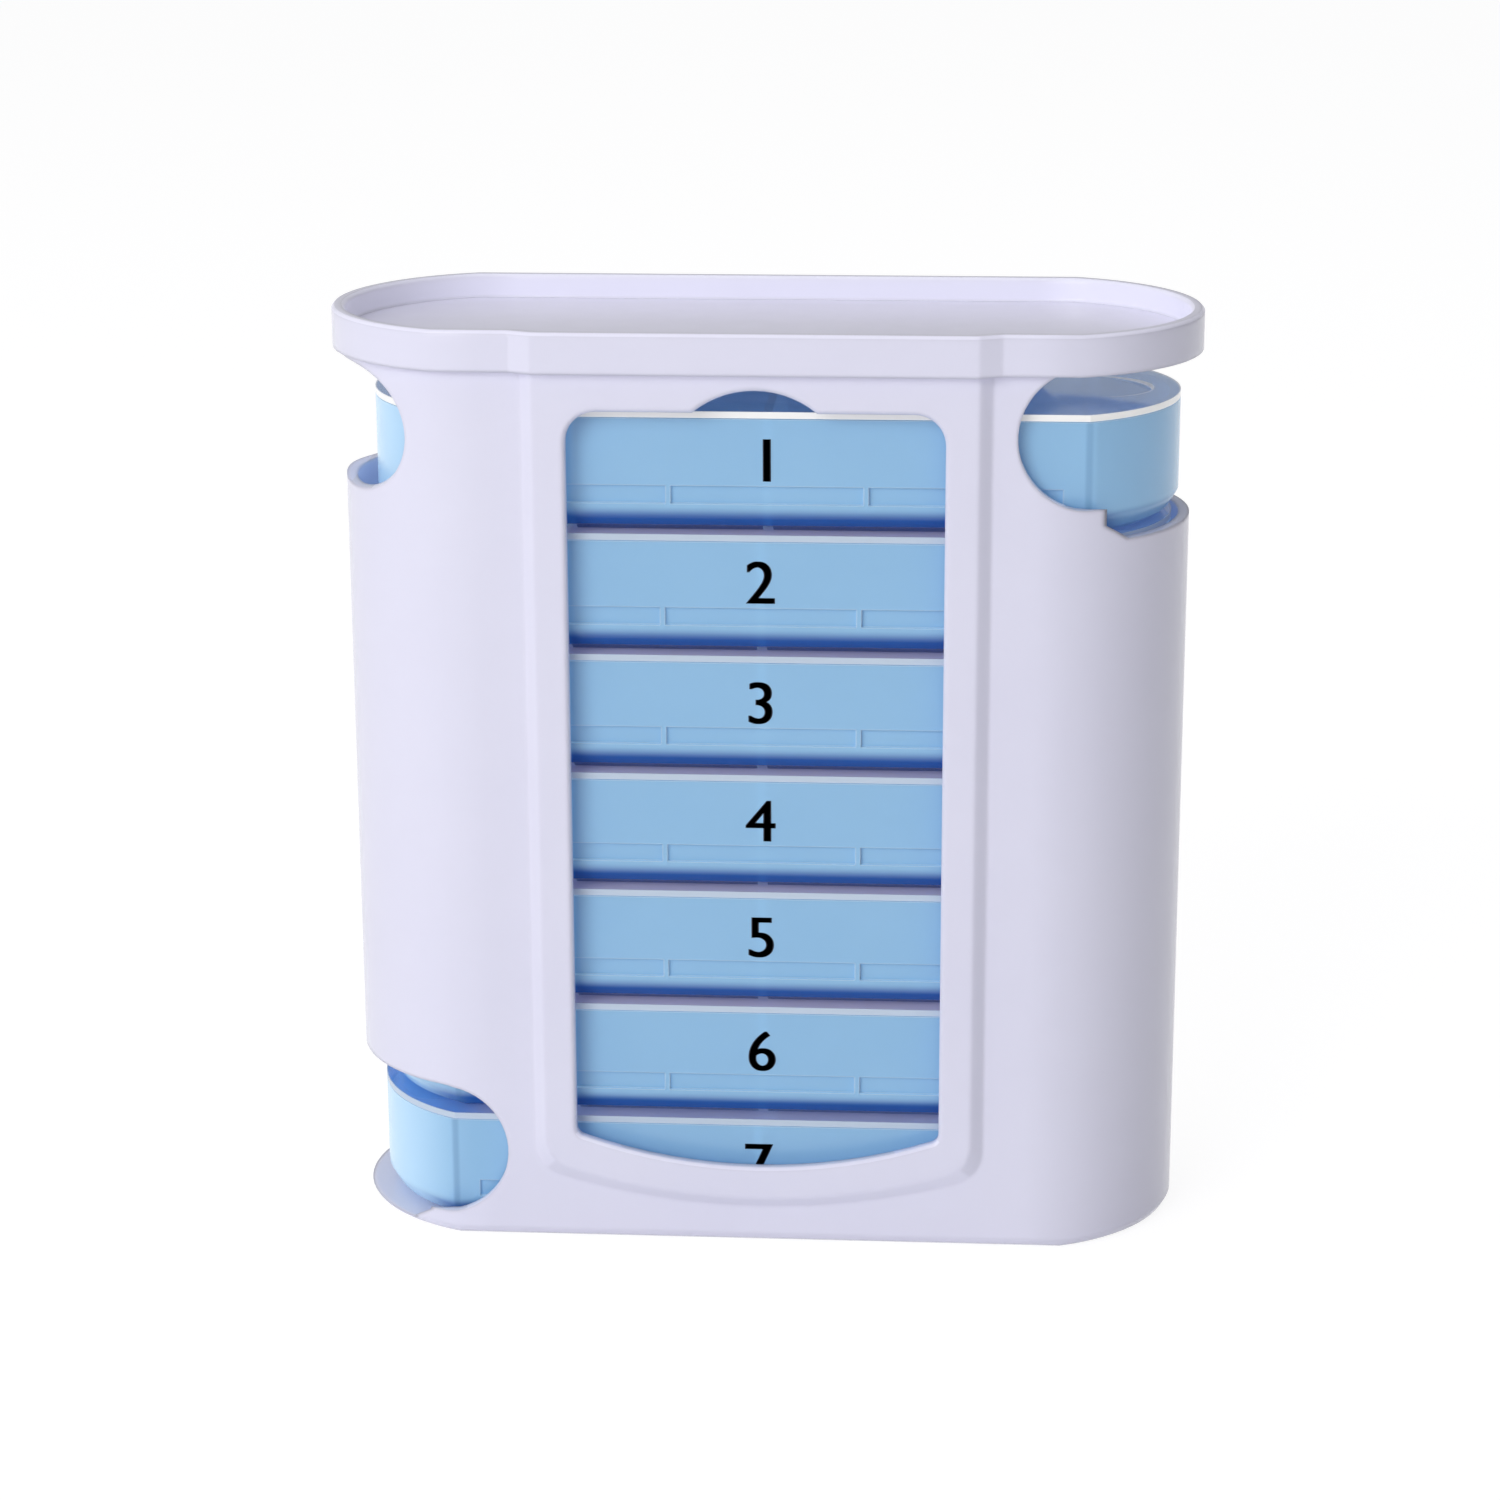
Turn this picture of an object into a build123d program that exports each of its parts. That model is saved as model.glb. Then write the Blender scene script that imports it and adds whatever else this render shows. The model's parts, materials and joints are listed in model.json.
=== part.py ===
from build123d import *
from math import cos, radians, sin
import os

os.makedirs("parts", exist_ok=True)

# Weekly pill drawer case. A moulded case with a clip-on cover holds a stack of
# trays, each with four compartments and a clear sliding lid. The top tray
# leaves through the right end and the bottom tray through the left end.
# Millimetres. X runs along the case, the window faces -Y, and the case stands
# on Z = 0 with X = 0 and Y = 0 in the middle of its outline.

# Case outline: straight front and back, bowed ends that meet them at soft creases
case_length = 118.4
case_depth = 45.4
case_end_bow = 16.0
case_wall = 1.5
case_floor = 0.9
case_base_radius = 2.0

# Trays, which fit the inside of the case with these gaps
day_count = 7
tray_side_gap = 0.7
tray_end_play = 3.0
tray_end_bow = 12.8
tray_wall = 1.5
tray_floor = 1.4
tray_face_height = 15.2
tray_foot_radius = 4.4
compartment_pitch = 26.9
compartment_count = 4
compartment_foot_run = 1.0
compartment_foot_rise = 2.0
divider_thickness = 1.2
groove_width = 1.4
groove_depth = 0.8

# Recessed band low on a tray's face, parted by a short tick at every compartment
band_bottom = 4.2
band_height = 2.5
band_recess = 0.25
tick_width = 0.7

# Dovetail rim of a tray, on which its lid slides
rim_height = 0.75
rim_inset = 0.55
rim_undercut = 0.25

# Clear lid: a plate with a dovetail lip along the front and the back
lid_thickness = 0.9
lid_slide_gap = 0.1
thumb_recess_radius = 7.5
thumb_recess_inset = 11.3
thumb_recess_depth = 0.5

# How each tray lies in the case: its shift along X, and the gaps of the stack
top_tray_shift = 1.4
middle_tray_shift = 0.5
bottom_tray_shift = -0.1
stack_gap = 0.07
stack_headroom = 6.7

# Raised front panel and its window
panel_half_width = 30.0
panel_rise = 1.5
panel_side_run = 1.8
panel_bottom = 7.4
panel_corner_bottom = 12.6
panel_corner_radius = 5.0
panel_edge_radius = 1.2
window_half_width = 25.6
window_top_margin = 6.3
window_corner_radius = 4.2
window_bottom = 12.0
window_corner_bottom = 16.5
window_foot_radius = 1.5
finger_bump_half_width = 8.4
finger_bump_rise = 3.05
window_edge_chamfer = 0.4

# Openings in the ends, cut through from front to back
sill_over_top_tray = 4.2
top_opening_radius = 9.8
top_opening_inset = 14.2
finger_hole_radius = 8.75
finger_hole_inset = 2.6
sill_over_bottom_tray = 2.5
bottom_opening_radius = 9.7
bottom_opening_inset = 13.9
exit_clearance = 0.3

# Cover: skirt, raised rim round a recessed top, and ribs inside the walls
cover_overhang = 1.4
cover_fit_gap = 0.1
skirt_drop = 1.0
cover_plate = 1.2
cover_rim_height = 3.4
cover_rim_width = 1.8
cover_rim_chamfer = 0.4
cover_bulge_half_width = 29.7
cover_bulge_run = 3.6
cover_bulge_radius = 1.6
locating_rib_length = 52.0
locating_rib_thickness = 1.2
locating_rib_depth = 1.6

# Sizes that follow from the ones above
tray_length = case_length - 2 * case_wall - tray_end_play
tray_depth = case_depth - 2 * case_wall - 2 * tray_side_gap
rim_top = tray_face_height + rim_height
lid_bottom = rim_top + lid_slide_gap
lid_top = lid_bottom + lid_thickness
tray_pitch = lid_top + stack_gap
bottom_level = case_floor + stack_gap
top_level = bottom_level + (day_count - 1) * tray_pitch
case_height = bottom_level + day_count * tray_pitch + stack_headroom
window_top = case_height - window_top_margin
skirt_bottom = case_height - skirt_drop
cover_top = case_height + cover_plate + cover_rim_height
case_front = -case_depth / 2
panel_front = case_front - panel_rise
through = 2 * case_depth


def bowed_outline(length, depth, bow):
    # Closed plan outline with straight sides and an arc at each end
    straight = length / 2 - bow
    Line((-straight, -depth / 2), (straight, -depth / 2))
    ThreePointArc((straight, -depth / 2), (length / 2, 0), (straight, depth / 2))
    Line((straight, depth / 2), (-straight, depth / 2))
    ThreePointArc((-straight, depth / 2), (-length / 2, 0), (-straight, -depth / 2))


def bowed_plan(length, depth, bow, inset, z):
    # Flat section of a bowed form, drawn this far inside its outline
    with BuildSketch(Plane.XY.offset(z)) as plan:
        with BuildLine():
            bowed_outline(length, depth, bow)
        make_face()
        if inset > 0.001:
            offset(amount=-inset, kind=Kind.INTERSECTION, mode=Mode.REPLACE)
    return plan.sketch


def bowed_block(length, depth, bow, height, foot_radius):
    # Upright bowed form whose lower edge is rounded by two flats, which touch an
    # arc of the foot radius at 30 and 60 degrees
    reach = foot_radius / cos(radians(15))
    sections = []
    for turn in (15, 45, 75):
        inset = foot_radius - reach * sin(radians(turn))
        rise = foot_radius - reach * cos(radians(turn))
        sections.append(bowed_plan(length, depth, bow, inset, rise))
    loft(sections, ruled=True)
    extrude(sections[-1], amount=height - rise)


def panel_outline(half_width, bottom, corner_bottom, top):
    # Upright panel seen from the front, with an arc for its lower edge
    Line((-half_width, top), (half_width, top))
    Line((half_width, top), (half_width, corner_bottom))
    ThreePointArc((half_width, corner_bottom), (0, bottom), (-half_width, corner_bottom))
    Line((-half_width, corner_bottom), (-half_width, top))


def window_outline():
    # Window seen from the front: arched foot, and a finger bump in the top edge
    w = window_half_width
    b = finger_bump_half_width
    Line((-w, window_top), (-b, window_top))
    ThreePointArc((-b, window_top), (0, window_top + finger_bump_rise), (b, window_top))
    Line((b, window_top), (w, window_top))
    Line((w, window_top), (w, window_corner_bottom))
    ThreePointArc((w, window_corner_bottom), (0, window_bottom), (-w, window_corner_bottom))
    Line((-w, window_corner_bottom), (-w, window_top))


def front_plane(y):
    # Upright plane at this Y: its x runs along +X, its y is +Z, and it faces -Y
    return Plane(origin=(0, y, 0), x_dir=(1, 0, 0), z_dir=(0, -1, 0))


# Case shell: the outer form with its raised panel
with BuildPart() as case_shell:
    bowed_block(case_length, case_depth, case_end_bow, case_height, case_base_radius)

    # The raised panel swells out of the front with sloping sides
    base_half_width = panel_half_width + panel_side_run
    panel_base_bottom = panel_bottom - panel_side_run
    panel_base_corner = panel_corner_bottom - panel_side_run
    with BuildSketch(front_plane(case_front)) as panel_base:
        with BuildLine():
            panel_outline(base_half_width, panel_base_bottom, panel_base_corner, case_height)
        make_face()
        fillet(panel_base.vertices().group_by(Axis.Y)[0], radius=panel_corner_radius)
    with BuildSketch(front_plane(panel_front)) as panel_face:
        with BuildLine():
            panel_outline(panel_half_width, panel_bottom, panel_corner_bottom, case_height)
        make_face()
        fillet(panel_face.vertices().group_by(Axis.Y)[0], radius=panel_corner_radius)
    loft()
    panel_rim = case_shell.faces().sort_by(Axis.Y)[0].outer_wire().edges()
    fillet(panel_rim.filter_by(lambda e: e.center().Z < case_height - 1), radius=panel_edge_radius)

    # Hollow inside, with a pocket behind the panel so that the wall stays even
    inside = bowed_plan(case_length, case_depth, case_end_bow, case_wall, case_floor)
    extrude(inside, amount=case_height - case_floor, mode=Mode.SUBTRACT)
    with BuildSketch(front_plane(case_front + case_wall)) as panel_pocket:
        with BuildLine():
            panel_outline(
                panel_half_width - case_wall,
                panel_bottom + case_wall,
                panel_corner_bottom + case_wall,
                case_height,
            )
        make_face()
        fillet(panel_pocket.vertices().group_by(Axis.Y)[0], radius=panel_corner_radius)
    extrude(amount=panel_rise, mode=Mode.SUBTRACT)

    # Window through the panel
    with BuildSketch(front_plane(panel_front - 1)) as window:
        with BuildLine():
            window_outline()
        make_face()
        foot_corners = window.vertices().group_by(Axis.Y)[0]
        fillet(foot_corners, radius=window_foot_radius)
        top_corners = window.vertices().filter_by(
            lambda v: abs(v.Y - window_top) < 0.01 and abs(v.X) > finger_bump_half_width + 1
        )
        fillet(top_corners, radius=window_corner_radius)
    extrude(amount=-(panel_rise + case_wall + 2), mode=Mode.SUBTRACT)
    window_rim = case_shell.faces().sort_by(Axis.Y)[0].inner_wires()[0].edges()
    chamfer(window_rim, length=window_edge_chamfer)

    # Top opening and finger hole, level with each other, and the bottom opening
    top_sill = top_level + sill_over_top_tray
    bottom_sill = bottom_level + sill_over_bottom_tray
    top_opening_x = case_length / 2 - top_opening_inset
    finger_hole_x = finger_hole_inset - case_length / 2
    bottom_opening_x = bottom_opening_inset - case_length / 2
    top_slot = case_height - top_sill + 1
    bottom_slot = 2 * bottom_opening_radius
    with BuildSketch(front_plane(-through / 2)):
        with Locations((top_opening_x, top_sill + top_opening_radius)):
            Circle(top_opening_radius)
        with Locations((top_opening_x, top_sill)):
            Rectangle(case_length / 2, top_slot, align=(Align.MIN, Align.MIN))
        with Locations((finger_hole_x, top_sill + finger_hole_radius)):
            Circle(finger_hole_radius)
        with Locations((bottom_opening_x, bottom_sill + bottom_opening_radius)):
            Circle(bottom_opening_radius)
        with Locations((bottom_opening_x, bottom_sill)):
            Rectangle(case_length / 2, bottom_slot, align=(Align.MAX, Align.MIN))
    extrude(amount=-through, mode=Mode.SUBTRACT)

    # Way out for each tray across the bowed end, shaped like the tray's foot
    exit_width = tray_depth + 2 * exit_clearance
    exit_corner = tray_foot_radius / 2
    for side, exit_bottom in ((1, top_level - exit_clearance), (-1, case_floor)):
        with BuildSketch(Plane.YZ.offset(side * case_length / 4)) as exit_section:
            with Locations((0, exit_bottom)):
                Rectangle(exit_width, 2 * tray_foot_radius, align=(Align.CENTER, Align.MIN))
            chamfer(exit_section.vertices().group_by(Axis.Y)[0], length=exit_corner)
        extrude(amount=side * case_length / 2, mode=Mode.SUBTRACT)

case_shell.part.label = "case_shell"
export_step(case_shell.part, "parts/case_shell.step")


def cover_plan(grow, half_width, run):
    # Plan of the case grown by this much, with the panel's bulge in its front
    base = case_front - grow
    foot = half_width + run
    bulge = ((-foot, base), (-half_width, base - panel_rise), (half_width, base - panel_rise), (foot, base))
    with BuildSketch() as plan:
        with BuildLine():
            bowed_outline(case_length, case_depth, case_end_bow)
        make_face()
        offset(amount=grow, kind=Kind.INTERSECTION, mode=Mode.REPLACE)
        with BuildLine():
            Polyline(*bulge, close=True)
        make_face()
        bulge_corners = plan.vertices().filter_by(lambda v: v.Y < base + 0.01 and abs(v.X) < foot + 0.01)
        fillet(bulge_corners, radius=cover_bulge_radius)
    return plan.sketch


def plan_at(plan, grow, z):
    # The same plan at this level, grown by this much
    with BuildSketch(Plane.XY.offset(z)) as raised_plan:
        add(plan)
        if grow != 0:
            offset(amount=grow, kind=Kind.INTERSECTION, mode=Mode.REPLACE)
    return raised_plan.sketch


recess_grow = cover_overhang - cover_rim_width
recess_half_width = cover_bulge_half_width - cover_rim_width / 2
socket_half_width = panel_half_width + cover_fit_gap
skirt_plan = cover_plan(cover_overhang, cover_bulge_half_width, cover_bulge_run)
recess_plan = cover_plan(recess_grow, recess_half_width, cover_bulge_run)
socket_plan = cover_plan(cover_fit_gap, socket_half_width, panel_side_run)

# Cover: skirt, plate and raised rim, whose two top edges are eased
with BuildPart() as top_cover:
    eased_level = cover_top - cover_rim_chamfer
    rim_foot_plan = plan_at(skirt_plan, 0, eased_level)
    rim_top_plan = plan_at(skirt_plan, -cover_rim_chamfer, cover_top)
    extrude(plan_at(skirt_plan, 0, skirt_bottom), amount=eased_level - skirt_bottom)
    loft([rim_foot_plan, rim_top_plan], ruled=True)

    # Recess inside the raised rim
    recess_foot_plan = plan_at(recess_plan, 0, eased_level)
    recess_top_plan = plan_at(recess_plan, cover_rim_chamfer, cover_top)
    extrude(recess_foot_plan, amount=cover_plate + case_height - eased_level, mode=Mode.SUBTRACT)
    loft([recess_foot_plan, recess_top_plan], ruled=True, mode=Mode.SUBTRACT)

    # Room for the top edge of the case inside the skirt
    extrude(plan_at(socket_plan, 0, skirt_bottom), amount=skirt_drop, mode=Mode.SUBTRACT)

    # Two ribs that locate the cover inside the back and front walls
    rib_y = case_depth / 2 - case_wall - cover_fit_gap - locating_rib_thickness / 2
    with BuildSketch(Plane.XY.offset(case_height)):
        with Locations((0, rib_y), (0, -rib_y)):
            Rectangle(locating_rib_length, locating_rib_thickness)
    extrude(amount=-locating_rib_depth)

top_cover.part.label = "top_cover"
export_step(top_cover.part, "parts/top_cover.step")


# Sites along a tray, counted from the middle of its own outline
compartment_sites = [(i - (compartment_count - 1) / 2) * compartment_pitch for i in range(compartment_count)]
divider_sites = [x + compartment_pitch / 2 for x in compartment_sites[:-1]]

# Space inside a tray: eased at the foot for a fingertip, and parted by the dividers
with BuildPart() as hollow_form:
    foot_inset = tray_wall + compartment_foot_run
    foot_top = tray_floor + compartment_foot_rise
    foot_plan = bowed_plan(tray_length, tray_depth, tray_end_bow, foot_inset, tray_floor)
    inner_plan = bowed_plan(tray_length, tray_depth, tray_end_bow, tray_wall, foot_top)
    loft([foot_plan, inner_plan], ruled=True)
    extrude(inner_plan, amount=rim_top - foot_top)
    with BuildSketch(Plane.XY.offset(tray_floor)):
        with Locations([(x, 0) for x in divider_sites]):
            Rectangle(divider_thickness, tray_depth)
    extrude(amount=rim_top - tray_floor, mode=Mode.SUBTRACT)

# Tray, drawn at the middle of its own outline with its underside at Z = 0
with BuildPart() as tray_form:
    bowed_block(tray_length, tray_depth, tray_end_bow, rim_top, tray_foot_radius)

    # Recessed band between the outermost ticks, along the front and the back
    band_y = tray_depth / 2 - band_recess
    with BuildSketch(Plane.XY.offset(band_bottom)):
        with Locations([(x, y) for x in divider_sites for y in (band_y, -band_y)]):
            Rectangle(compartment_pitch - tick_width, 2 * band_recess)
    extrude(amount=band_height, mode=Mode.SUBTRACT)

    # Dovetail rims along the front and the back
    rim_foot = tray_depth / 2 - rim_inset - rim_undercut
    rim_edge = tray_depth / 2 - rim_inset
    with BuildSketch(Plane.YZ.offset(-tray_length / 2 - 1)):
        with BuildLine():
            Polyline(
                (rim_foot, tray_face_height),
                (rim_edge, rim_top),
                (tray_depth, rim_top),
                (tray_depth, tray_face_height),
                close=True,
            )
        make_face()
        mirror(about=Plane.XZ)
    extrude(amount=tray_length + 2, mode=Mode.SUBTRACT)

    add(hollow_form.part, mode=Mode.SUBTRACT)

    # Grooves across the underside, one below each divider
    with BuildSketch():
        with Locations([(x, 0) for x in divider_sites]):
            Rectangle(groove_width, 2 * tray_depth)
    extrude(amount=groove_depth, mode=Mode.SUBTRACT)


# Lid, drawn in the same place as the tray that it closes
with BuildPart() as lid_form:
    extrude(bowed_plan(tray_length, tray_depth, tray_end_bow, 0, lid_bottom), amount=lid_thickness)

    # Lips that hook under the tray's dovetail rims
    lip_bottom = tray_face_height + lid_slide_gap
    lip_height = lid_bottom - lip_bottom
    slope = rim_undercut / rim_height
    with BuildSketch(Plane.YZ.offset(-tray_length / 2)):
        with BuildLine():
            Polyline(
                (rim_foot + lid_slide_gap * (1 + slope), lip_bottom),
                (rim_foot + lid_slide_gap * (1 + slope) + lip_height * slope, lid_bottom),
                (tray_depth / 2, lid_bottom),
                (tray_depth / 2, lip_bottom),
                close=True,
            )
        make_face()
        mirror(about=Plane.XZ)
    extrude(amount=tray_length)
    lid_plan = bowed_plan(tray_length, tray_depth, tray_end_bow, 0, lip_bottom)
    extrude(lid_plan, amount=lid_top - lip_bottom, mode=Mode.INTERSECT)

    # Half-round thumb recess near the right end, which slopes down to its round edge
    recess_slope = thumb_recess_depth / thumb_recess_radius
    start = (tray_length / 2 - thumb_recess_inset, 0, lid_top)
    recess_plane = Plane(origin=start, x_dir=(1, 0, -recess_slope), z_dir=(recess_slope, 0, 1))
    with BuildSketch(recess_plane):
        with BuildLine():
            CenterArc((0, 0), thumb_recess_radius, -90, 180)
            Line((0, -thumb_recess_radius), (0, thumb_recess_radius))
        make_face()
    extrude(amount=lid_thickness, mode=Mode.SUBTRACT)


def tray_shift(day):
    if day == 1:
        return top_tray_shift
    if day == day_count:
        return bottom_tray_shift
    return middle_tray_shift


# The stack: day 1 on top, each tray under its own lid
for day in range(1, day_count + 1):
    level = bottom_level + (day_count - day) * tray_pitch
    with BuildPart() as tray:
        with Locations((tray_shift(day), 0, level)):
            add(tray_form.part)
    tray.part.label = f"tray_day_{day}"
    export_step(tray.part, f"parts/tray_day_{day}.step")
    with BuildPart() as lid:
        with Locations((tray_shift(day), 0, level)):
            add(lid_form.part)
    lid.part.label = f"lid_day_{day}"
    export_step(lid.part, f"parts/lid_day_{day}.step")
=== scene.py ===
import json
import math

import bmesh
import bpy
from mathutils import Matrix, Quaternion, Vector


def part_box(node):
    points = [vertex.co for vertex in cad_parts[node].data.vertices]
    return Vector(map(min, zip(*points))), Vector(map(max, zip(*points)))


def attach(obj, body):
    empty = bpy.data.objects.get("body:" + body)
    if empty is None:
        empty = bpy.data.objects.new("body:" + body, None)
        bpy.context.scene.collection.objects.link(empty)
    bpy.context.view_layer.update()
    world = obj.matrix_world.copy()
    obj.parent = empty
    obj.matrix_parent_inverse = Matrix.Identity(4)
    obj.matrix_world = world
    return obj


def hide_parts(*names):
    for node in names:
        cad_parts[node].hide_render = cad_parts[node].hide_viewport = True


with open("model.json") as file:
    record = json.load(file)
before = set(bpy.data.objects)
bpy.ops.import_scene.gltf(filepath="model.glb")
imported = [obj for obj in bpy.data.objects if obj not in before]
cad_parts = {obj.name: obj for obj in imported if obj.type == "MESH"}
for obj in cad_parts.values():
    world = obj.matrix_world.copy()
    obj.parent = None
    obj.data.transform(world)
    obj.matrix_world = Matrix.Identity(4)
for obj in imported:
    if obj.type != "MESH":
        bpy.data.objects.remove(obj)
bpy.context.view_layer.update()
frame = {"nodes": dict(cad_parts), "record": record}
nodes = frame["nodes"]

# Metres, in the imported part's own frame: X along the case, the window faces -Y
MM = 0.001
DAYS = range(1, 8)
tray_names = [f"tray_day_{day}" for day in DAYS]
lid_names = [f"lid_day_{day}" for day in DAYS]

# Places read from the solids
CASE_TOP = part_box("case_shell")[1].z
BOTTOM_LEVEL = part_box("tray_day_7")[0].z
TRAY_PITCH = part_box("tray_day_6")[0].z - BOTTOM_LEVEL
LID_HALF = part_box("lid_day_7")[1].y

# The tray's plan: where its straight side ends, counted from its own middle
TRAY_CREASE_X = 43.4 * MM

# The case's plan: straight sides as far as the crease, then ends bowed round two centres
CREASE_X = 43.2 * MM
CASE_HALF_DEPTH = 22.7 * MM
ARC_CENTRE_X = 35.1 * MM
ARC_RADIUS = 24.1 * MM
CREASE_TURN = math.atan2(CREASE_X - ARC_CENTRE_X, CASE_HALF_DEPTH)


# Node trees. The owner of a tree is a material or the world.

def new_material(name):
    """A node material with its Principled shader and its output."""
    material = bpy.data.materials.new(name)
    material.use_nodes = True
    shader = material.node_tree.nodes["Principled BSDF"]
    output = material.node_tree.nodes["Material Output"]
    return material, shader, output


def add_node(owner, kind, **settings):
    """A new node. A setting is one of its properties, or a socket's name with _ for each space."""
    node = owner.node_tree.nodes.new(kind)
    for key, value in settings.items():
        if hasattr(node, key):
            setattr(node, key, value)
        else:
            node.inputs[key.replace("_", " ")].default_value = value
    return node


def join(owner, source, target):
    owner.node_tree.links.new(source, target)


def feed(owner, value, socket):
    """Gives a socket another node's output, a colour or a plain number."""
    if isinstance(value, tuple):
        socket.default_value = (*value, 1)
    elif isinstance(value, (int, float)):
        socket.default_value = value
    else:
        join(owner, value, socket)


def math_node(owner, operation, *values):
    node = add_node(owner, "ShaderNodeMath", operation=operation)
    for value, socket in zip(values, node.inputs):
        feed(owner, value, socket)
    return node.outputs[0]


def times(owner, first, second):
    return math_node(owner, "MULTIPLY", first, second)


def larger(owner, first, second):
    return math_node(owner, "MAXIMUM", first, second)


def without_sign(owner, value):
    return math_node(owner, "ABSOLUTE", value)


def dot_product(owner, first, second):
    node = add_node(owner, "ShaderNodeVectorMath", operation="DOT_PRODUCT")
    join(owner, first, node.inputs[0])
    join(owner, second, node.inputs[1])
    return node.outputs["Value"]


def axes_of(owner, vector):
    """The outputs X, Y and Z of a vector."""
    node = add_node(owner, "ShaderNodeSeparateXYZ")
    join(owner, vector, node.inputs[0])
    return node.outputs


def map_range(owner, value, interpolation="LINEAR", **limits):
    """Maps a value from one range onto another. A limit that isn't given is 0 or 1."""
    node = add_node(owner, "ShaderNodeMapRange", interpolation_type=interpolation, **limits)
    join(owner, value, node.inputs["Value"])
    return node.outputs["Result"]


def between(owner, share, low, high):
    """low where the share is 0 and high where it is 1."""
    return map_range(owner, share, To_Min=low, To_Max=high)


def rise(owner, value, start, end):
    """0 below start and 1 above end, with a smooth rise between."""
    return map_range(owner, value, "SMOOTHSTEP", From_Min=start, From_Max=end)


def mix_colours(owner, share, first, second):
    """Mixes two colours, each a colour or another node's output."""
    node = add_node(owner, "ShaderNodeMix", data_type="RGBA")
    sockets = [socket for socket in node.inputs if socket.type == "RGBA"]
    feed(owner, first, sockets[0])
    feed(owner, second, sockets[1])
    join(owner, share, node.inputs["Factor"])
    return next(socket for socket in node.outputs if socket.type == "RGBA")


def mix_shaders(owner, share, first, second):
    node = add_node(owner, "ShaderNodeMixShader")
    feed(owner, share, node.inputs["Fac"])
    join(owner, first.outputs[0], node.inputs[1])
    join(owner, second.outputs[0], node.inputs[2])
    return node


def any_ray(owner, *kinds):
    """1 for rays of these kinds, and 0 for all others."""
    rays = add_node(owner, "ShaderNodeLightPath").outputs
    found = rays[kinds[0]]
    for kind in kinds[1:]:
        found = larger(owner, found, rays[kind])
    return found


def object_place(material):
    return add_node(material, "ShaderNodeTexCoord").outputs["Object"]


def surface_normal(material):
    return add_node(material, "ShaderNodeNewGeometry").outputs["Normal"]


def normal_height(material):
    return axes_of(material, surface_normal(material))["Z"]


def noise(material, scale, detail=2.0):
    node = add_node(material, "ShaderNodeTexNoise", Scale=scale, Detail=detail)
    join(material, object_place(material), node.inputs["Vector"])
    return node.outputs["Fac"]


def eased_normal(material, radius):
    """The surface's direction, turned gradually across each edge."""
    return add_node(material, "ShaderNodeBevel", samples=6, Radius=radius).outputs["Normal"]


def moulded_surface(material, shader, ripple, ripple_scale, grain, grain_scale, edge=None):
    """A faint long ripple with a fine grain on it, as moulded plastic has, and eased edges."""
    wide = add_node(material, "ShaderNodeBump", Strength=ripple, Distance=0.4 * MM)
    fine = add_node(material, "ShaderNodeBump", Strength=grain, Distance=0.05 * MM)
    join(material, noise(material, ripple_scale), wide.inputs["Height"])
    join(material, noise(material, grain_scale, detail=4.0), fine.inputs["Height"])
    join(material, wide.outputs["Normal"], fine.inputs["Normal"])
    if edge:
        join(material, eased_normal(material, edge), wide.inputs["Normal"])
    join(material, fine.outputs["Normal"], shader.inputs["Normal"])


def linear(red, green, blue):
    """A colour given as the eye reads it, 0 to 255, in the renderer's linear values."""
    def channel(value):
        value /= 255
        return value / 12.92 if value <= 0.04045 else ((value + 0.055) / 1.055) ** 2.4
    return channel(red), channel(green), channel(blue)


# Where a surface lies and which way it faces: 1 there and 0 elsewhere.
# A direction is told by the height of its normal, from -1 for down to 1 for up.

LOOKS_UP = 0.5
EASED_SLOPE = (0.35, 0.93)
# How far out a wall lies, counted along its normal, is less than this on inner walls
INNER_WALL = -5 * MM
COMPARTMENTS_HALF_LENGTH = 40 * MM
COMPARTMENTS_HALF_WIDTH = 17.9 * MM
# How well the true and the eased normal agree, on flat faces and along edges
FLAT_TO_EDGE = (0.99, 0.85)


def upward(material):
    """Faces that look up."""
    return math_node(material, "GREATER_THAN", normal_height(material), LOOKS_UP)


def facing_inward(material):
    """Walls that face the middle of the case."""
    level_place = add_node(material, "ShaderNodeVectorMath", operation="MULTIPLY")
    join(material, object_place(material), level_place.inputs[0])
    level_place.inputs[1].default_value = (1, 1, 0)
    outward = dot_product(material, level_place.outputs[0], surface_normal(material))
    return math_node(material, "LESS_THAN", outward, INNER_WALL)


def inside_case(material):
    """The inner walls of the case, below the cover, which get a lilac-blue painted glow."""
    height = axes_of(material, object_place(material))["Z"]
    below_cover = math_node(material, "LESS_THAN", height, CASE_TOP)
    return times(material, facing_inward(material), below_cover)


def eased_edges(material):
    """The narrow slopes that ease an upper edge, which get a painted highlight."""
    slope = normal_height(material)
    above = math_node(material, "GREATER_THAN", slope, EASED_SLOPE[0])
    below = math_node(material, "LESS_THAN", slope, EASED_SLOPE[1])
    return times(material, above, below)


def inside_tray(material, along, across):
    """The inner walls, dividers and floor of a tray."""
    not_down = math_node(material, "GREATER_THAN", normal_height(material), -LOOKS_UP)
    middle = math_node(material, "LESS_THAN", along, COMPARTMENTS_HALF_LENGTH)
    between_walls = math_node(material, "LESS_THAN", across, COMPARTMENTS_HALF_WIDTH)
    dividers = times(material, times(material, middle, between_walls), not_down)
    inside = larger(material, facing_inward(material), dividers)
    return larger(material, inside, upward(material))


def edge_light(material, radius):
    """1 along edges and 0 away from them: where a painted highlight goes."""
    turn = dot_product(material, eased_normal(material, radius), surface_normal(material))
    return map_range(material, turn, From_Min=FLAT_TO_EDGE[0], From_Max=FLAT_TO_EDGE[1])


# White case and cover: glossy, with a faint lilac tint

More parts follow.
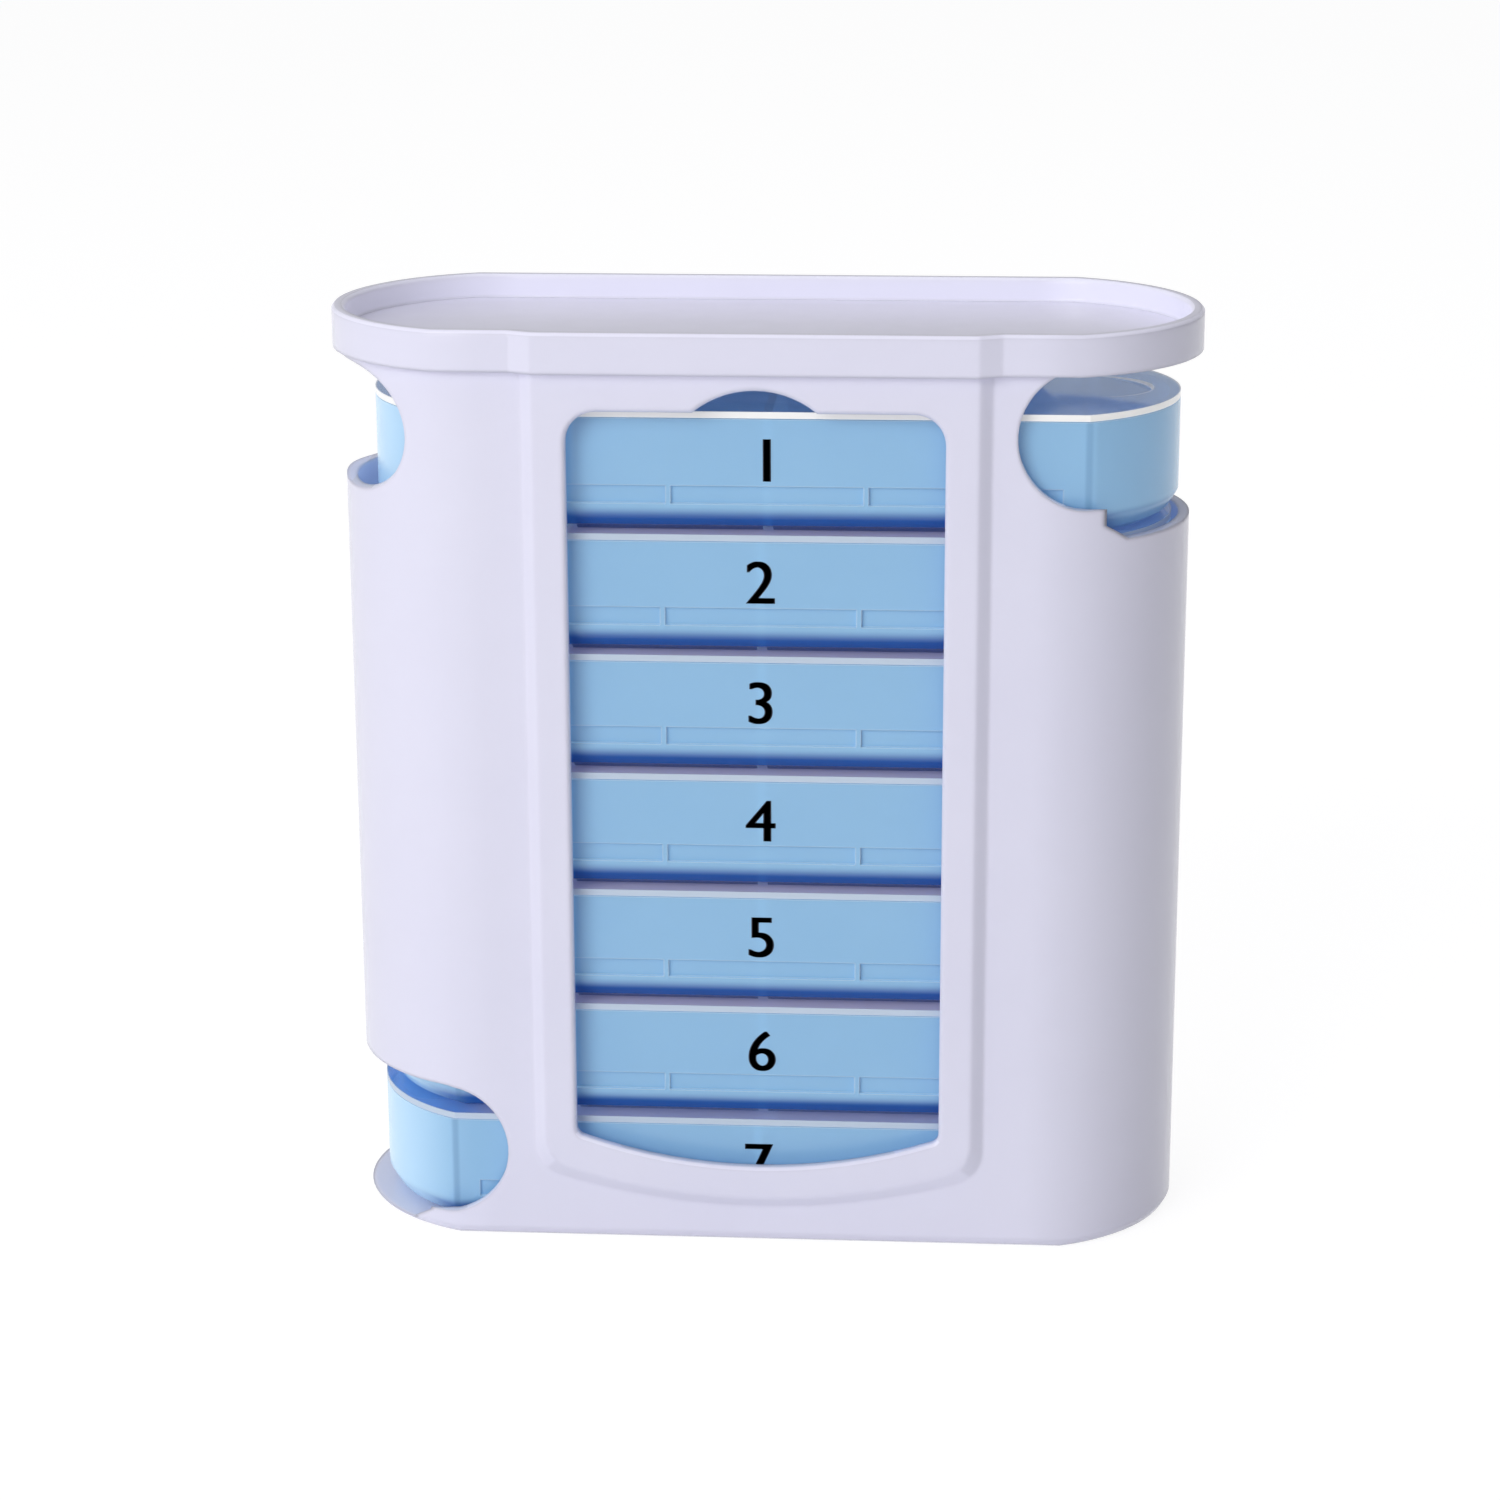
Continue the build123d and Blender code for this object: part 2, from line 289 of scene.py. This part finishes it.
EDGE_GLOW_COLOUR = linear(240, 240, 255)
INNER_GLOW_COLOUR = linear(146, 158, 208)
WHITE_INNER_GLOW = 0.14
WHITE_EDGE_GLOW = 0.12


def white_plastic():
    material, shader, _ = new_material("white_plastic")
    # Painted light: a glow on the walls inside the case, and a painted highlight on the eased upper
    # edges
    glow = mix_colours(material, inside_case(material), EDGE_GLOW_COLOUR, INNER_GLOW_COLOUR)
    join(material, glow, shader.inputs["Emission Color"])
    inner_glow = times(material, facing_inward(material), WHITE_INNER_GLOW)
    edge_glow = times(material, eased_edges(material), WHITE_EDGE_GLOW)
    join(material, larger(material, inner_glow, edge_glow), shader.inputs["Emission Strength"])

    patches = noise(material, scale=35.0, detail=3.0)
    tint = mix_colours(material, patches, linear(222, 221, 240), linear(229, 228, 245))
    join(material, tint, shader.inputs["Base Color"])
    sheen = noise(material, scale=220.0, detail=4.0)
    join(material, between(material, sheen, low=0.19, high=0.26), shader.inputs["Roughness"])
    shader.inputs["IOR"].default_value = 1.5
    moulded_surface(
        material, shader,
        ripple=0.10, ripple_scale=40.0, grain=0.05, grain_scale=900.0, edge=0.9 * MM)
    return material


# Trays: translucent light blue, with painted shade on the foot.
# Each pair gives the places between which one tint or glow gives way to the next.

FOOT_SHADE_TO_FACE = (2.0 * MM, 3.9 * MM)
SIDE_TO_BOWED_END = (44 * MM, 50 * MM)
SIDE_TO_LIT_END = (40 * MM, 54 * MM)
CREASE_SHADE_LINE = (0.15 * MM, 0.75 * MM)

FOOT_SHADE_BLUE = linear(30, 92, 176)
LIT_END_BLUE = linear(200, 231, 252)
CREASE_SHADE_BLUE = linear(60, 112, 165)
EDGE_HIGHLIGHT_BLUE = linear(222, 238, 248)
GLOW_BLUE = linear(168, 210, 232)

# How much of each tint the tray takes where it is strongest
FACE_ON_BOWED_END = 0.65
LIT_END_SHARE = 0.8
CREASE_SHADE_SHARE = 0.28
EDGE_HIGHLIGHT_SHARE = 0.6

# How strong the painted glow is, inside the tray and at its two ends
TRAY_INNER_GLOW = 0.22
LEFT_END_GLOW = 0.13
RIGHT_END_GLOW = 0.06


def blue_plastic(name, tray_middle):
    """The tray's plastic. Its Object coordinates are the part's own, for every tray."""
    material, shader, _ = new_material(name)
    place = axes_of(material, object_place(material))
    from_middle = without_sign(material, place["X"])
    patches = noise(material, scale=45.0, detail=3.0)
    tint = mix_colours(material, patches, linear(153, 201, 236), linear(161, 207, 240))

    # Painted shade between the trays: the foot is a deeper blue up to a height above the tray's
    # underside
    height = math_node(material, "SUBTRACT", place["Z"], BOTTOM_LEVEL)
    height = math_node(material, "MODULO", height, TRAY_PITCH)
    bowed_end = rise(material, from_middle, *SIDE_TO_BOWED_END)
    bowed_face = times(material, bowed_end, FACE_ON_BOWED_END)
    face = larger(material, rise(material, height, *FOOT_SHADE_TO_FACE), bowed_face)
    face = larger(material, face, upward(material))
    tint = mix_colours(material, face, FOOT_SHADE_BLUE, tint)

    # Painted light: the left end stands in full light, so it is tinted paler
    leftward = times(material, place["X"], -1.0)
    left_end = rise(material, leftward, *SIDE_TO_LIT_END)
    tint = mix_colours(material, times(material, left_end, LIT_END_SHARE), tint, LIT_END_BLUE)

    # A thin line of painted shade where the bowed end meets the straight side
    off_middle = without_sign(material, math_node(material, "SUBTRACT", place["X"], tray_middle))
    off_crease = without_sign(material, math_node(material, "SUBTRACT", off_middle, TRAY_CREASE_X))
    on_crease_shade = math_node(material, "SUBTRACT", 1.0, rise(material, off_crease, *CREASE_SHADE_LINE))
    tint = mix_colours(material, times(material, on_crease_shade, CREASE_SHADE_SHARE), tint, CREASE_SHADE_BLUE)

    # A painted glow on the inner walls, and on the ends that stick out of the case
    inside = inside_tray(material, from_middle, without_sign(material, place["Y"]))
    right_end = rise(material, place["X"], *SIDE_TO_LIT_END)
    inner_glow = times(material, inside, TRAY_INNER_GLOW)
    left_glow = times(material, left_end, LEFT_END_GLOW)
    right_glow = times(material, right_end, RIGHT_END_GLOW)
    glow = larger(material, inner_glow, larger(material, left_glow, right_glow))
    shader.inputs["Emission Color"].default_value = (*GLOW_BLUE, 1)
    join(material, glow, shader.inputs["Emission Strength"])

    # Painted highlight: paler lines along the edges of the tray's face
    face_edge_highlight = times(material, edge_light(material, 0.3 * MM), face)
    tint = mix_colours(material, times(material, face_edge_highlight, EDGE_HIGHLIGHT_SHARE), tint, EDGE_HIGHLIGHT_BLUE)
    join(material, tint, shader.inputs["Base Color"])
    sheen = noise(material, scale=260.0, detail=4.0)
    join(material, between(material, sheen, low=0.16, high=0.26), shader.inputs["Roughness"])
    shader.inputs["IOR"].default_value = 1.49
    shader.inputs["Transmission Weight"].default_value = 0.2
    moulded_surface(
        material, shader,
        ripple=0.12, ripple_scale=50.0, grain=0.06, grain_scale=1100.0, edge=0.12 * MM)
    return material


# Lids: clear in the middle, with painted reflection and a painted glow on their rims and bowed ends,
# and a painted highlight along their edges

MIDDLE_TO_RIM = (LID_HALF - 8 * MM, LID_HALF - 4.5 * MM)
MIDDLE_TO_END = (36 * MM, 44 * MM)
MIDDLE_CLEARNESS = 0.86
END_PAINT_SHARE = 0.6
RIM_GLOW_COLOUR = linear(148, 142, 176)


def clear_plastic(name, middle_tint, rim_reflection_tint, end_reflection_tint, edge_highlight_tint, rim_clearness, glow, edge_glow):
    """The lid's plastic: clear, with painted reflection and glow on its rim and ends, and a paler
    shader on its sides and edges as a painted highlight.
    """
    material, shader, output = new_material(name)
    place = axes_of(material, object_place(material))
    rim = rise(material, without_sign(material, place["Y"]), *MIDDLE_TO_RIM)
    bowed_end = rise(material, without_sign(material, place["X"]), *MIDDLE_TO_END)
    # Painted reflection and glow: the rim and the bowed ends are tinted, less clear and glowing
    tint = mix_colours(material, rim, middle_tint, rim_reflection_tint)
    join(material, mix_colours(material, bowed_end, tint, end_reflection_tint), shader.inputs["Base Color"])
    painted_rim_and_end = larger(material, rim, times(material, bowed_end, END_PAINT_SHARE))
    clearness = between(material, painted_rim_and_end, MIDDLE_CLEARNESS, rim_clearness)
    join(material, clearness, shader.inputs["Transmission Weight"])
    shader.inputs["Emission Color"].default_value = (*RIM_GLOW_COLOUR, 1)
    join(material, times(material, painted_rim_and_end, glow), shader.inputs["Emission Strength"])
    sheen = noise(material, scale=300.0, detail=4.0)
    join(material, between(material, sheen, low=0.04, high=0.10), shader.inputs["Roughness"])
    shader.inputs["IOR"].default_value = 1.49
    moulded_surface(material, shader, ripple=0.08, ripple_scale=60.0, grain=0.04, grain_scale=1200.0)

    # Painted highlight: a paler, glowing shader on the lid's sides and along its edges
    edge = add_node(material, "ShaderNodeBsdfPrincipled")
    edge.inputs["Base Color"].default_value = (*edge_highlight_tint, 1)
    edge.inputs["Emission Color"].default_value = (*edge_highlight_tint, 1)
    edge.inputs["Emission Strength"].default_value = edge_glow
    edge.inputs["Roughness"].default_value = 0.25
    edge.inputs["Transmission Weight"].default_value = 0.2
    steepness = without_sign(material, normal_height(material))
    flat = math_node(material, "GREATER_THAN", steepness, LOOKS_UP)
    off_edge_highlight = math_node(material, "SUBTRACT", 1.0, edge_light(material, 0.45 * MM))
    plate = mix_shaders(material, times(material, flat, off_edge_highlight), edge, shader)
    join(material, plate.outputs[0], output.inputs["Surface"])
    return material


# Printing ink

def ink(name, colour):
    material, shader, _ = new_material(name)
    darker = tuple(0.8 * channel for channel in colour)
    patches = noise(material, scale=400.0, detail=3.0)
    join(material, mix_colours(material, patches, darker, colour), shader.inputs["Base Color"])
    sheen = noise(material, scale=700.0)
    join(material, between(material, sheen, low=0.35, high=0.5), shader.inputs["Roughness"])
    return material


def dress(node_names, material):
    """Gives CAD nodes a material."""
    for name in node_names:
        mesh = nodes[name].data
        mesh.materials.clear()
        mesh.materials.append(material)


def body_of(node_name):
    """The CAD body that a node belongs to."""
    bodies = frame["record"]["behaviour"]["bodies"]
    return next(body for body, members in bodies.items() if node_name in members)


def link(name, data):
    """A new object in the scene."""
    thing = bpy.data.objects.new(name, data)
    bpy.context.scene.collection.objects.link(thing)
    return thing


def final_mesh(thing):
    """The object's mesh with its modifiers applied, or the outline of its text."""
    evaluated = thing.evaluated_get(bpy.context.evaluated_depsgraph_get())
    return bpy.data.meshes.new_from_object(evaluated)


# The long creases of the case and cover, where the bowed ends meet the straight sides.
# They are rounded so gently on the object that only the light on them shows it.

CREASE_ROUND = 5.5 * MM
# The walls are cut at these distances from a crease, so that their shading can turn there
CREASE_CUTS = [offset * MM for offset in (-5.5, -4, -2.5, -1.2, 1.2, 2.4)]
# Corners closer than the first are one corner, and a corner within the second lies on a cut
SAME_CORNER = 0.001 * MM
ON_CUT = 0.0005 * MM
# The level part of a wall's normal is longer than this
WALL_NORMAL = 0.2
# How well a wall that follows the outline agrees with the outline's direction
ALONG_OUTLINE = 0.93


def rounded_outward(x, y):
    """The level direction out of the case's rounded outline at this place."""
    arc_turn = math.atan2(abs(x) - ARC_CENTRE_X, abs(y))
    if abs(x) < CREASE_X:
        past_crease = abs(x) - CREASE_X
    else:
        past_crease = (arc_turn - CREASE_TURN) * ARC_RADIUS
    if past_crease < -CREASE_ROUND:
        turn = 0
    elif past_crease < CREASE_ROUND:
        full_turn = CREASE_TURN + CREASE_ROUND / ARC_RADIUS
        turn = (past_crease / CREASE_ROUND + 1) / 2 * full_turn
    else:
        turn = arc_turn
    return Vector((math.copysign(math.sin(turn), x), math.copysign(math.cos(turn), y), 0))


def smooth_copy(node_name, material, sharp_degrees, cuts=()):
    """A piece that stands for a CAD node: its shape, with evenly shaded curves."""
    mesh = nodes[node_name].data.copy()
    shape = bmesh.new()
    shape.from_mesh(mesh)
    bmesh.ops.remove_doubles(shape, verts=shape.verts, dist=SAME_CORNER)
    for x in cuts:
        everything = shape.verts[:] + shape.edges[:] + shape.faces[:]
        bmesh.ops.bisect_plane(
            shape, geom=everything, dist=ON_CUT, plane_co=(x, 0, 0), plane_no=(1, 0, 0))
    for face in shape.faces:
        face.smooth = True
    sharp_turn = math.radians(sharp_degrees)
    for edge in shape.edges:
        edge.smooth = edge.is_manifold and edge.calc_face_angle(math.pi) < sharp_turn
    shape.to_mesh(mesh)
    shape.free()
    mesh.materials.clear()
    mesh.materials.append(material)
    piece = link(f"{node_name}_skin", mesh)
    evening = piece.modifiers.new("evening", "WEIGHTED_NORMAL")
    evening.keep_sharp = True
    piece.data = final_mesh(piece)
    piece.modifiers.clear()
    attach(piece, body_of(node_name))
    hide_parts(node_name)
    return piece


def round_creases(piece):
    """Shades the walls of the case or cover as if their long creases were rounded."""
    mesh = piece.data
    normals = [corner.vector.copy() for corner in mesh.corner_normals]
    for face in mesh.polygons:
        level = Vector((face.normal.x, face.normal.y, 0))
        if level.length < WALL_NORMAL:
            continue
        level.normalize()
        for corner in face.loop_indices:
            place = mesh.vertices[mesh.loops[corner].vertex_index].co
            outward = rounded_outward(place.x, place.y)
            facing = level.dot(outward)
            if abs(facing) > ALONG_OUTLINE:
                height = normals[corner].z
                reach = math.sqrt(1 - height ** 2)
                normals[corner] = outward * math.copysign(reach, facing) + Vector((0, 0, height))
    mesh.normals_split_custom_set([tuple(normal) for normal in normals])


white = white_plastic()
crease_cuts = [side * (CREASE_X + offset) for side in (-1, 1) for offset in CREASE_CUTS]
for name in ("case_shell", "top_cover"):
    round_creases(smooth_copy(name, white, sharp_degrees=20, cuts=crease_cuts))

# The top tray stands further right than the stack and the bottom tray further left,
# so each of the three places has its own material
blue = {}
for name in tray_names:
    low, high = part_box(name)
    tray_middle = round((low.x + high.x) / 2, 5)
    if tray_middle not in blue:
        blue[tray_middle] = blue_plastic(f"blue_plastic_{len(blue) + 1}", tray_middle)
    smooth_copy(name, blue[tray_middle], sharp_degrees=35)

# Rim and end tints are painted reflection, glow is painted light, and the edge tint is a painted
# highlight
sky_blue = linear(196, 216, 244)
stack_edge_highlight = linear(208, 224, 240)
top_lid = clear_plastic(
    "clear_plastic",
    middle_tint=sky_blue, rim_reflection_tint=sky_blue, end_reflection_tint=sky_blue, edge_highlight_tint=linear(250, 249, 246),
    rim_clearness=MIDDLE_CLEARNESS, glow=0, edge_glow=0.2)
stack_lid = clear_plastic(
    "clear_plastic_in_stack",
    middle_tint=sky_blue, rim_reflection_tint=linear(232, 226, 240), end_reflection_tint=linear(158, 200, 244),
    edge_highlight_tint=stack_edge_highlight, rim_clearness=0.35, glow=0.12, edge_glow=0.02)
bottom_lid = clear_plastic(
    "clear_plastic_at_foot",
    middle_tint=sky_blue, rim_reflection_tint=linear(220, 220, 240), end_reflection_tint=linear(116, 184, 246),
    edge_highlight_tint=stack_edge_highlight, rim_clearness=0.6, glow=0.1, edge_glow=0.02)
dress(lid_names[:1], top_lid)
dress(lid_names[1:6], stack_lid)
dress(lid_names[6:], bottom_lid)


# Plain day numbers on the faces of the trays

NUMBER_HEIGHT = 5.9 * MM
NUMBER_RISE = 7.4 * MM
NUMBER_WEIGHT = 0.14 * MM
PRINT_GAP = 0.03 * MM
DIGIT_SHARE = 0.69  # of the font's size that a digit is tall


def printed_number(name, words, place, material, body):
    """A flat number on a tray's face, made bold by three prints side by side."""
    curve = bpy.data.curves.new(name, "FONT")
    curve.body = words
    curve.size = NUMBER_HEIGHT / DIGIT_SHARE
    curve.align_x = "CENTER"
    lettering = link(name, curve)
    outline = final_mesh(lettering)
    bpy.data.objects.remove(lettering)
    shape = bmesh.new()
    for shift in (-NUMBER_WEIGHT, 0, NUMBER_WEIGHT):
        one_print = outline.copy()
        for vertex in one_print.vertices:
            vertex.co = (place[0] + vertex.co.x + shift, place[1], place[2] + vertex.co.y)
        shape.from_mesh(one_print)
    mesh = bpy.data.meshes.new(name)
    shape.to_mesh(mesh)
    shape.free()
    mesh.materials.append(material)
    number = link(name, mesh)
    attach(number, body)


dark_ink = ink("dark_ink", linear(28, 30, 44))
for day, tray in zip(DAYS, tray_names):
    low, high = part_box(tray)
    place = ((low.x + high.x) / 2, low.y - PRINT_GAP, low.z + NUMBER_RISE)
    printed_number(f"day_number_{day}", str(day), place, dark_ink, body_of(tray))


# Stage: a pale floor that keeps the shadow and shows nearly white

FLOOR_HALF = 6.0
WHITE_SHARE = 0.75
WHITE_STRENGTH = 1.16


def floor_material():
    material, shader, output = new_material("floor")
    patches = noise(material, scale=3.0)
    pale = mix_colours(material, patches, linear(240, 240, 243), linear(244, 244, 247))
    join(material, pale, shader.inputs["Base Color"])
    shader.inputs["Roughness"].default_value = 0.8
    white_light = add_node(material, "ShaderNodeEmission", Strength=WHITE_STRENGTH)
    seen = mix_shaders(material, WHITE_SHARE, shader, white_light)
    seeing_rays = any_ray(material, "Is Camera Ray", "Is Transmission Ray", "Is Glossy Ray")
    shown = mix_shaders(material, seeing_rays, shader, seen)
    join(material, shown.outputs[0], output.inputs["Surface"])
    return material


def stage_floor():
    half = FLOOR_HALF
    mesh = bpy.data.meshes.new("floor")
    corners = [(-half, -half, 0), (half, -half, 0), (half, half, 0), (-half, half, 0)]
    mesh.from_pydata(corners, [], [(0, 1, 2, 3)])
    mesh.materials.append(floor_material())
    floor = link("floor", mesh)


stage_floor()


# Light: a large soft lamp from the front left, a weaker one above,
# and a sky that is brighter on the left

def soft_lamp(name, place, aim, size, power):
    light = bpy.data.lights.new(name, "AREA")
    light.shape = "DISK"
    light.size = size
    light.energy = power
    lamp = link(name, light)
    lamp.location = place
    lamp.rotation_mode = "QUATERNION"
    lamp.rotation_quaternion = (Vector(aim) - Vector(place)).to_track_quat("-Z", "Y")


def sky(left, right):
    """A sky that lights the part unevenly, and that the camera sees as white."""
    world = bpy.data.worlds.new("studio")
    bpy.context.scene.world = world
    world.use_nodes = True
    lighting = world.node_tree.nodes["Background"]
    lighting.inputs["Color"].default_value = (1, 1, 1, 1)
    direction = add_node(world, "ShaderNodeTexCoord").outputs["Generated"]
    across = axes_of(world, direction)["X"]
    strength = map_range(world, across, From_Min=-1, From_Max=1, To_Min=left, To_Max=right)
    join(world, strength, lighting.inputs["Strength"])
    white_sky = add_node(world, "ShaderNodeBackground", Strength=1.0)
    white_sky.inputs["Color"].default_value = (1, 1, 1, 1)
    seeing_rays = any_ray(world, "Is Camera Ray", "Is Transmission Ray")
    shown = mix_shaders(world, seeing_rays, lighting, white_sky)
    join(world, shown.outputs[0], world.node_tree.nodes["World Output"].inputs["Surface"])


CASE_MIDDLE = (0, 0, 0.065)
soft_lamp("key", place=(-0.6, -1.1, 0.6), aim=CASE_MIDDLE, size=0.9, power=8.6)
soft_lamp("overhead", place=(-0.1, 0.1, 1.3), aim=CASE_MIDDLE, size=0.8, power=2.4)
sky(left=0.62, right=0.25)


# Camera at the photograph's viewing angle, fitted to points measured on it

def photo_camera():
    target = Vector((-0.002483, 0, 0.066589))
    distance = 0.54755
    azimuth = math.radians(4.0777)
    elevation = math.radians(16.3848)
    roll = math.radians(-0.2207)
    back = Vector((
        math.sin(azimuth) * math.cos(elevation),
        -math.cos(azimuth) * math.cos(elevation),
        math.sin(elevation),
    ))
    optics = bpy.data.cameras.new("photo_camera")
    optics.sensor_width = 36
    optics.lens = 91.473
    optics.clip_start = 0.01
    camera = link("photo_camera", optics)
    camera.location = target + distance * back
    camera.rotation_mode = "QUATERNION"
    camera.rotation_quaternion = (-back).to_track_quat("-Z", "Y") @ Quaternion((0, 0, 1), roll)
    bpy.context.scene.camera = camera


photo_camera()
bpy.context.scene.view_settings.view_transform = "Standard"
